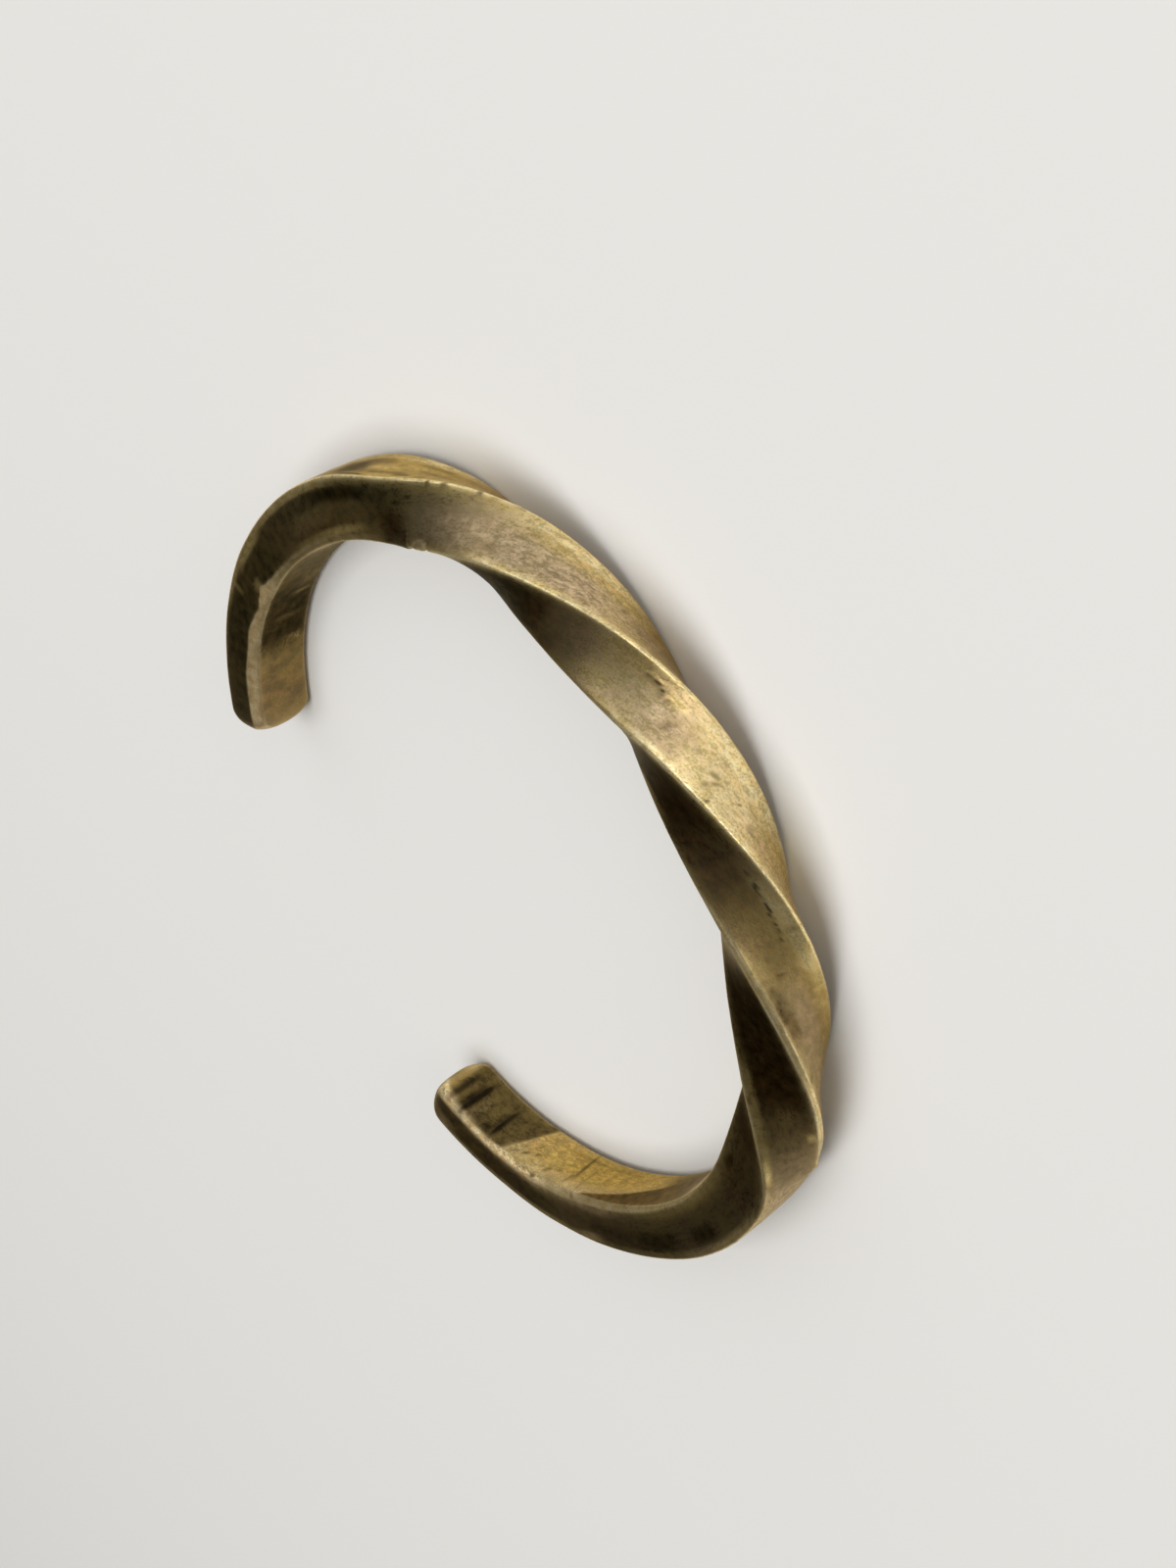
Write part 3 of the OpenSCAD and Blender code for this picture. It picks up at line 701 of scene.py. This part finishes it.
def reliefOf(stations, u, v, away):
    # height above the smooth bar, how dark each cut is, and the rim of the ring: waves, then marks,
    # small dings, the fold (a short drop on its far side that comes back slowly) and the ring (a
    # rim on an ellipse, with a sunk middle)
    dings, fold, ring = bangle["dings"], bangle["fold"], bangle["pressedRing"]
    rng = np.random.default_rng(dings["seed"])
    relief = wavesAt(stations, u, v, rng)
    dark = np.zeros_like(relief)
    for row in rowsOf(marks, markColumns):
        spot = spotAt(stations - row["station"], away[row["ridge"]] - row["past"], row)
        relief -= row["depth"] * spot
        dark = np.maximum(dark, row["dark"] * spot)
    for _ in range(dings["count"]):
        size = rng.uniform(*dings["size"])
        row = {"long": size, "wide": size * rng.uniform(*dings["slender"]), "turn": rng.uniform(0, 180)}
        letter = "ABCD"[rng.integers(4)]
        along = stations - rng.uniform(*dings["stations"])
        spot = spotAt(along, away[letter] - rng.uniform(*dings["past"]), row)
        relief -= rng.uniform(*dings["depth"]) * spot
        dark = np.maximum(dark, rng.uniform(*dings["dark"]) * spot)
    beyond = stations - fold["station"]
    inFold = softStep((away["A"] - fold["past"] + fold["before"]) / fold["over"]) * (away["A"] < fold["end"])
    drop = softStep(beyond / fold["lip"]) * np.exp(-np.maximum(beyond, 0) / fold["run"]) * inFold
    relief -= fold["depth"] * drop
    dark = np.maximum(dark, fold["dark"] * drop**2)
    alongRing = (stations - ring["station"]) / ring["halfLong"]
    acrossRing = (away[ring["ridge"]] - ring["past"]) / ring["halfWide"]
    reach = np.hypot(alongRing, acrossRing)
    rim = np.exp(-(((reach - 1) * ring["halfWide"] / ring["rim"]) ** 2))
    relief += ring["height"] * (rim - softStep((1 - reach) / ring["slope"]))
    return relief, dark, rim


def tarnishWearAndPaintedLightOf(stations, away, states, rim):
    # strength of each layer of tarnish, wear, painted shade and painted highlight, 0 to 1: the rows of
    # the table, each kept to its own face, laid over each other as 1 minus the product of what each
    # leaves free; then the greater of that and of each bordered patch, an eased step across its border,
    # the tip's partly a painted cast shadow and the wedge painted shade; then, beside every ridge, of a
    # bright line of bare metal with a painted highlight, a rubbed strip and the tan of its worn flat
    wearAndHighlight, spill = bangle["ridgeWearAndHighlight"], bangle["spill"]
    layers = {name: np.zeros_like(stations) for name in brass["layers"]}
    onFace = {}
    for here, there in zip("ABCD", "BCDA"):
        begun = softStep((away[here] + spill["reach"]) / spill["soft"])
        onFace[here] = begun * softStep((spill["reach"] - away[there]) / spill["soft"])
    for row in rowsOf(tarnishAndPaintedLight, tarnishAndPaintedLightColumns):
        spot = spotAt(stations - row["station"], away[row["ridge"]] - row["past"], row, fall=4)
        spot = spot * onFace[row["ridge"]]
        layers[row["layer"]] = 1 - (1 - layers[row["layer"]]) * (1 - row["strength"] * spot)
    # the bordered patches: the tip's partly a painted cast shadow, the wedge painted shade
    for shadedPatch in stainsAndPaintedShadows:
        turn = math.radians(shadedPatch["turn"])
        across, along = away["B"] - shadedPatch["past"], stations - shadedPatch["station"]
        inside = softStep((across * math.cos(turn) - along * math.sin(turn)) / shadedPatch["edge"] + 0.5)
        inside = inside * softStep(stations - shadedPatch["from"])
        inside = inside * softStep((shadedPatch["to"] - stations) / shadedPatch["fade"])
        for name, strength in shadedPatch["layers"].items():
            layers[name] = np.maximum(layers[name], strength * inside * onFace["B"])
    # ridge lines: bare metal with a painted highlight
    for letter, state in states.items():
        off = np.abs(away[letter])
        line = state["bareAndHighlight"] * np.exp(-(((off - state["facet"]) / wearAndHighlight["line"]) ** 2))
        strip = wearAndHighlight["stripStrength"] * state["bareAndHighlight"] * np.exp(-((off / wearAndHighlight["strip"]) ** 2))
        worn = state["tan"] * softStep((state["facet"] - off) / wearAndHighlight["facetEdge"] + 1)
        layers["bareAndHighlight"] = np.maximum(layers["bareAndHighlight"], line)
        layers["rubbed"] = np.maximum(layers["rubbed"], strip)
        layers["tan"] = np.maximum(layers["tan"], worn)
    # the ring's rim: bare metal with a painted highlight
    layers["bareAndHighlight"] = np.maximum(layers["bareAndHighlight"], bangle["pressedRing"]["bareAndHighlight"] * rim)
    return layers


def makeBangle():
    # the outline carried along the bent and twisted middle line, set down on the table, then moved
    # inwards along its normals by the relief; the layers' strengths go with it, and its noses are plain
    # brown; distances past the ridges are taken on the bar as it is before its noses close in
    station, closed, shrunk = barRows()
    u, v, ridgeAt, _ = outline(station, closed)
    fullU, fullV, _, states = outline(station, closed * 0)
    away = girthFrom(fullU, fullV, ridgeAt)
    u, v = u * shrunk[:, None], v * shrunk[:, None]
    stations = station[:, None] + u * 0
    relief, dark, rim = reliefOf(stations, u, v, away)
    kept = 1 - softStep(bangle["noseFade"] * closed)[:, None]
    layers = {name: layer * kept for name, layer in tarnishWearAndPaintedLightOf(stations, away, states, rim).items()}
    layers["brown"] = np.maximum(layers["brown"], bangle["noseBrown"] * (1 - kept))
    smooth = restOnTable(placeOnBend(station, u, v), station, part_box("bangle"))
    points = smooth - gridNormals(smooth) * (relief * shrunk[:, None])[..., None]
    points[..., 2] = np.maximum(points[..., 2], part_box("bangle")[0][2] / mm)
    attributes = {"barPlace": np.stack([stations, u, v], 2)}
    for key, names in layerTriples.items():
        attributes[key] = np.stack([layers[name] for name in names], 2)
    attributes["marked"] = np.minimum(dark, 1)
    return points * mm, attributes


def gridMesh(name, points, attributes):
    # quads between the rows and round them, and a fan of triangles to a pole at either end
    rows, columns = points.shape[:2]
    index = np.arange(rows * columns).reshape(rows, columns)
    here, there = index[:-1], index[1:]
    quads = np.stack([here, there, np.roll(there, -1, 1), np.roll(here, -1, 1)], 2).reshape(-1, 4)
    poles = np.array([rows * columns, rows * columns + 1])
    first = np.stack([index[0], np.roll(index[0], -1), np.full(columns, poles[0])], 1)
    last = np.stack([np.roll(index[-1], -1), index[-1], np.full(columns, poles[1])], 1)
    allPoints = np.concatenate([points.reshape(-1, 3), [points[0].mean(0), points[-1].mean(0)]])
    corners = np.concatenate([quads.ravel(), first.ravel(), last.ravel()]).astype(np.int32)
    sizes = np.concatenate([np.full(len(quads), 4), np.full(2 * columns, 3)])
    starts = np.concatenate([[0], np.cumsum(sizes)[:-1]])
    mesh = bpy.data.meshes.new(name)
    mesh.vertices.add(len(allPoints))
    mesh.vertices.foreach_set("co", allPoints.astype(np.float32).ravel())
    mesh.loops.add(len(corners))
    mesh.loops.foreach_set("vertex_index", corners)
    mesh.polygons.add(len(sizes))
    mesh.polygons.foreach_set("loop_start", starts.astype(np.int32))
    mesh.polygons.foreach_set("use_smooth", np.ones(len(sizes), bool))
    mesh.update(calc_edges=True)
    mesh.validate()
    for key, value in attributes.items():
        flat = value.reshape(rows * columns, -1)
        ends = [flat[:columns].mean(0, keepdims=True), flat[-columns:].mean(0, keepdims=True)]
        flat = np.concatenate([flat] + ends)
        kind, field = ("FLOAT_VECTOR", "vector") if flat.shape[1] == 3 else ("FLOAT", "value")
        attribute = mesh.attributes.new(key, kind, "POINT")
        attribute.data.foreach_set(field, flat.astype(np.float32).ravel())
    piece = bpy.data.objects.new(name, mesh)
    bpy.context.scene.collection.objects.link(piece)
    return piece


def linear(hexColour):
    # sRGB hex to the linear colour that a shader takes
    parts = [int(hexColour[i : i + 2], 16) / 255 for i in (1, 3, 5)]
    return tuple(c / 12.92 if c <= 0.04045 else ((c + 0.055) / 1.055) ** 2.4 for c in parts) + (1.0,)


def addNode(tree, kind, sockets, output=0, **settings):
    # one node with its settings; a socket takes a number, a colour or another node's output, and
    # the output asked for comes back
    node = tree.nodes.new("ShaderNode" + kind)
    for key, value in settings.items():
        setattr(node, key, value)
    for key, value in sockets.items():
        if isinstance(value, bpy.types.NodeSocket):
            tree.links.new(value, node.inputs[key])
        else:
            node.inputs[key].default_value = value
    return node.outputs[output] if len(node.outputs) else node


# The brass and what lies on it. Sizes and heights in mm. Its layers lie on each other in this order:
# a pale haze, honey tarnish, brown, umber and black patina with olive mottling, which in places also
# carry painted shade, dry tan oxide, pale and nearly matt so that on worn flats it is partly a
# painted highlight, rubbed places, the bare polished ridges, near white and partly matt so that they
# carry a painted highlight, and the dirt in the cuts. Each has two colours that a fine mottling runs
# between, how ragged its border is, its roughness, and how metallic it is.
brass = {
    "gold": "#E6CE86",  # satin metal under thin tarnish
    "tan": "#CDB286",  # where a film of oxide lies on it
    "edgeTint": "#F0E6CE",  # of what it mirrors at a glancing angle
    "rough": 0.40,
    "cloud": 6.0,  # across a drift of tan oxide
    "mottle": 0.9,  # across a blotch within a layer
    "fleck": (0.85, 0.36),  # length along the bar and width
    "grain": 0.17,  # real grain is near 0.1 mm, drawn coarser so that it shows
    # length and width of the strokes left by the polishing wheel, and of the scratches that cross
    # them, both near 0.05 mm wide on the real one and drawn wider so that they show
    "brush": (5.0, 0.16),
    "hair": (3.0, 0.12),
    "hairTurn": (0.5, 0.6, 0.7),
    "heights": (0.008, 0.014, 0.003, 0.003),  # of grain, fleck, brush and hair
    # the stretch of each pattern that does its work, and what it is run out to
    "filmRange": {"From Min": 0.87, "From Max": 1.13},
    "borderRange": {"From Min": 0.8, "From Max": 1.2, "To Min": -1.0, "To Max": 1.0},
    "mottlingRange": {"From Min": 0.35, "From Max": 0.65},
    "toneRange": {"From Min": 0.82, "From Max": 1.18, "To Min": 0.60, "To Max": 1.32},
    "roughRange": {"From Min": 0.75, "From Max": 1.25, "To Min": 0.05, "To Max": -0.05},
    "layers": {
        "haze": {"colours": ("#CBB594", "#B09A78"), "ragged": 0.30, "rough": 0.44, "metal": 1.0},
        "honey": {"colours": ("#D0AE56", "#B89548"), "ragged": 0.45, "rough": 0.40, "metal": 0.90},
        "brown": {"colours": ("#7E6133", "#4C391D"), "ragged": 0.40, "rough": 0.44, "metal": 0.95},
        "umber": {"colours": ("#4D3214", "#2C1A07"), "ragged": 0.40, "rough": 0.54, "metal": 0.95},
        "black": {"colours": ("#46391D", "#251D0C"), "ragged": 0.35, "rough": 0.56, "metal": 0.95},
        "mottled": {"colours": ("#57502F", "#2A2714"), "ragged": 0.60, "rough": 0.50, "metal": 0.90},
        # pale and nearly matt, so that on the worn flats it is partly a painted highlight
        "tan": {"colours": ("#F6DEAE", "#D4B282"), "ragged": 0.30, "rough": 0.42, "metal": 0.25},
        "rubbed": {"colours": ("#E8D08A", "#D2B468"), "ragged": 0.55, "rough": 0.36, "metal": 0.92},
        # near white and partly matt: bare metal with a painted highlight
        "bareAndHighlight": {"colours": ("#FFEDBC", "#F4DA98"), "ragged": 0.40, "rough": 0.28, "metal": 0.80},
        "marked": {"colours": ("#2C2110", "#1C150A"), "ragged": 0.25, "rough": 0.60, "metal": 0.85},
    },
}
# Which layers share an attribute of the mesh, as its three numbers. The dark layers carry painted
# shade as well as patina, and the bare one a painted highlight as well as wear.
layerTriples = {
    "film": ("haze", "honey", "brown"),
    "crustAndShade": ("umber", "black", "mottled"),
    "wearAndHighlight": ("tan", "rubbed", "bareAndHighlight"),
}


def perSize(long, wide):
    # scale of a pattern that is so long along the bar and so wide across it
    return (1 / long, 1 / wide, 1 / wide)


def antiquedBrass():
    # antiqued brass: drawn bar, twisted cold, darkened with a patina and rubbed back on a wheel, so
    # its ridges are bare and bright, its flats satin gold and tan, its hollows brown to black; its
    # colours also carry painted shade on faces that look into the dark, and painted highlights on
    # the ridges and bright flats
    material = bpy.data.materials.new("antiquedBrass")
    material.use_nodes = True
    tree = material.node_tree
    tree.nodes.clear()
    place = addNode(tree, "Attribute", {}, "Vector", attribute_name="barPlace")
    strengths = {"marked": addNode(tree, "Attribute", {}, "Fac", attribute_name="marked")}
    for key, names in layerTriples.items():
        triple = addNode(tree, "Attribute", {}, "Vector", attribute_name=key)
        parts = addNode(tree, "SeparateXYZ", {"Vector": triple}).node.outputs
        strengths.update(zip(names, parts))
    # patterns, each at its own size
    stretched = addNode(tree, "Mapping", {"Vector": place, "Scale": perSize(*brass["brush"])})
    turned = addNode(tree, "Mapping", {"Vector": place, "Rotation": brass["hairTurn"]})
    crossed = addNode(tree, "Mapping", {"Vector": turned, "Scale": perSize(*brass["hair"])})
    drawn = addNode(tree, "Mapping", {"Vector": place, "Scale": perSize(*brass["fleck"])})
    cloud = addNode(tree, "TexNoise", {"Vector": place, "Scale": 1 / brass["cloud"], "Detail": 3.0})
    mottle = addNode(tree, "TexNoise", {"Vector": place, "Scale": 1 / brass["mottle"], "Detail": 4.0})
    fleck = addNode(tree, "TexNoise", {"Vector": drawn, "Scale": 1.0, "Detail": 3.0, "Distortion": 0.8})
    grain = addNode(tree, "TexNoise", {
        "Vector": place, "Scale": 1 / brass["grain"], "Detail": 3.0, "Roughness": 0.7,
    })
    brushed = addNode(tree, "TexNoise", {"Vector": stretched, "Scale": 1.0, "Detail": 2.0})
    hairs = addNode(tree, "TexNoise", {"Vector": crossed, "Scale": 1.0, "Detail": 2.0})
    # satin metal: clouds and flecks of tan oxide on gold; a Mix node's colours go in at 6 and 7 and
    # come out at 2, its numbers go in at 2 and 3 and come out at 0
    film = addNode(tree, "Math", {0: cloud, 1: fleck}, operation="ADD")
    filmShare = addNode(tree, "MapRange", {"Value": film, **brass["filmRange"]})
    gold, tan = linear(brass["gold"]), linear(brass["tan"])
    colour = addNode(tree, "Mix", {0: filmShare, 6: gold, 7: tan}, 2, data_type="RGBA")
    # borders: fleck and grain, run out to -1 and 1
    flecked = addNode(tree, "Math", {0: fleck, 1: grain}, operation="ADD")
    border = addNode(tree, "MapRange", {"Value": flecked, **brass["borderRange"]})
    mottling = addNode(tree, "MapRange", {"Value": mottle, **brass["mottlingRange"]})
    rough, metal = brass["rough"], 1.0
    for name, layer in brass["layers"].items():
        # its strength, pushed up and down by the border pattern where it is neither 0 nor 1, and
        # the other way for wear, which leaves the flecks of patina standing
        strength = strengths[name]
        rest = addNode(tree, "Math", {0: 1.0, 1: strength}, operation="SUBTRACT")
        soft = addNode(tree, "Math", {0: strength, 1: rest}, operation="MULTIPLY")
        pushed = addNode(tree, "Math", {0: soft, 1: border}, operation="MULTIPLY")
        push = -2 * layer["ragged"] if name in layerTriples["wearAndHighlight"] else 2 * layer["ragged"]
        share = addNode(tree, "Math", {
            0: pushed, 1: push, 2: strength,
        }, operation="MULTIPLY_ADD", use_clamp=True)
        light, deep = (linear(tone) for tone in layer["colours"])
        toned = addNode(tree, "Mix", {0: mottling, 6: light, 7: deep}, 2, data_type="RGBA")
        colour = addNode(tree, "Mix", {0: share, 6: colour, 7: toned}, 2, data_type="RGBA")
        rough = addNode(tree, "Mix", {0: share, 2: rough, 3: layer["rough"]}, 0, data_type="FLOAT")
        metal = addNode(tree, "Mix", {0: share, 2: metal, 3: layer["metal"]}, 0, data_type="FLOAT")
    # flecks and grain lighten and darken it all, and make it smoother and rougher
    tone = addNode(tree, "MapRange", {"Value": flecked, **brass["toneRange"]})
    colour = addNode(tree, "VectorMath", {0: colour, "Scale": tone}, operation="SCALE")
    uneven = addNode(tree, "MapRange", {"Value": flecked, **brass["roughRange"]})
    rough = addNode(tree, "Math", {0: rough, 1: uneven}, operation="ADD")
    # relief in mm: the sum of every pattern times its height
    rise = 0.0
    for pattern, height in zip((grain, fleck, brushed, hairs), brass["heights"]):
        rise = addNode(tree, "Math", {0: pattern, 1: height, 2: rise}, operation="MULTIPLY_ADD")
    normal = addNode(tree, "Bump", {"Height": rise, "Distance": mm, "Strength": 1.0})
    shader = addNode(tree, "BsdfPrincipled", {
        "Base Color": colour, "Metallic": metal, "Roughness": rough, "Normal": normal,
        "Specular Tint": linear(brass["edgeTint"]),
    })
    addNode(tree, "OutputMaterial", {"Surface": shader})
    return material


points, attributes = makeBangle()
print("surface:", points.shape[0], "rows of", points.shape[1])
piece = gridMesh("bangle_body", points, attributes)
piece.data.materials.append(antiquedBrass())
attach(piece, "root")
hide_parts("bangle")
print("bangle:", len(piece.data.polygons), "faces")

# The table: one pale matt sheet, large enough to fill the picture. Half its side in metres.
table = {"half": 1.5, "colour": "#D9D7D3", "rough": 0.85}


def makeTable():
    # a flat square of four corners at the height that the bangle rests on, in matt paper: even and
    # pale, so that it shows the soft shadows and mirrors nothing
    half = table["half"]
    corners = [(-half, -half, 0), (half, -half, 0), (half, half, 0), (-half, half, 0)]
    mesh = bpy.data.meshes.new("table")
    mesh.from_pydata(corners, [], [(0, 1, 2, 3)])
    sheet = bpy.data.objects.new("table", mesh)
    bpy.context.scene.collection.objects.link(sheet)
    material = bpy.data.materials.new("mattPaper")
    material.use_nodes = True
    shader = material.node_tree.nodes["Principled BSDF"]
    shader.inputs["Base Color"].default_value = linear(table["colour"])
    shader.inputs["Roughness"].default_value = table["rough"]
    mesh.materials.append(material)


makeTable()
print("table laid")


def directionOf(azimuth, elevation):
    # unit vector from the middle outwards: azimuth round from the front, elevation above the table
    azimuth, elevation = math.radians(azimuth), math.radians(elevation)
    level = math.cos(elevation)
    return Vector((math.sin(azimuth) * level, -math.cos(azimuth) * level, math.sin(elevation)))


# Soft boxes: where each stands in degrees and metres, its side, its brightness, and whether the
# metal mirrors it. The overhead one is for the table: unmirrored, it leaves the metal its dark faces.
lights = {
    "key": {
        "azimuth": 9, "elevation": 8, "distance": 0.70, "side": 0.74, "brightness": 1.70, "mirrored": True,
    },
    "side": {
        "azimuth": 78, "elevation": 32, "distance": 0.80, "side": 0.80, "brightness": 0.85, "mirrored": True,
    },
    "overhead": {
        "azimuth": 0, "elevation": 89, "distance": 2.0, "side": 2.0, "brightness": 3.6, "mirrored": False,
    },
}
surround = {"colour": "#FFFFFF", "strength": 0.08}  # faint light from all round


def makeLights():
    # each faces the bangle, and its watts are its brightness times pi times its area
    for name, setup in lights.items():
        lamp = bpy.data.lights.new(name, "AREA")
        lamp.shape = "SQUARE"
        lamp.size = setup["side"]
        lamp.energy = setup["brightness"] * math.pi * setup["side"] ** 2
        direction = directionOf(setup["azimuth"], setup["elevation"])
        holder = bpy.data.objects.new(name, lamp)
        holder.location = direction * setup["distance"]
        holder.rotation_euler = direction.to_track_quat("Z", "Y").to_euler()
        holder.visible_glossy = setup["mirrored"]
        bpy.context.scene.collection.objects.link(holder)
    world = bpy.data.worlds.new("surround")
    world.use_nodes = True
    background = world.node_tree.nodes["Background"]
    background.inputs["Color"].default_value = linear(surround["colour"])
    background.inputs["Strength"].default_value = surround["strength"]
    bpy.context.scene.world = world


makeLights()
print("lights set")

# The camera looks at the bangle as the photograph does. Target and distance in mm, angles in
# degrees, lens in mm for a frame 36 mm high, nearest and farthest sight in metres.
viewpoint = {
    "target": (4.356, -5.963, -1.636),
    "distance": 161.38,
    "azimuth": 9.33,
    "elevation": 35.26,
    "roll": -120.87,
    "lens": 45.0,
    "clip": (0.01, 10.0),
}


def makeCamera():
    # it stands back from the target along the line of sight, and its right is level before it is
    # rolled round that line
    back = directionOf(viewpoint["azimuth"], viewpoint["elevation"])
    level = directionOf(viewpoint["azimuth"] + 90, 0)
    upright = back.cross(level)
    roll = math.radians(viewpoint["roll"])
    right = level * math.cos(roll) + upright * math.sin(roll)
    turn = Matrix((right, back.cross(right), back)).transposed().to_4x4()
    data = bpy.data.cameras.new("camera")
    data.lens = viewpoint["lens"]
    data.clip_start, data.clip_end = viewpoint["clip"]
    camera = bpy.data.objects.new("camera", data)
    stand = Vector(viewpoint["target"]) + back * viewpoint["distance"]
    camera.matrix_world = Matrix.Translation(stand * mm) @ turn
    bpy.context.scene.collection.objects.link(camera)
    bpy.context.scene.camera = camera


makeCamera()
bpy.context.scene.view_settings.view_transform = "Standard"  # so that hex colours stay what they are
print("camera set")
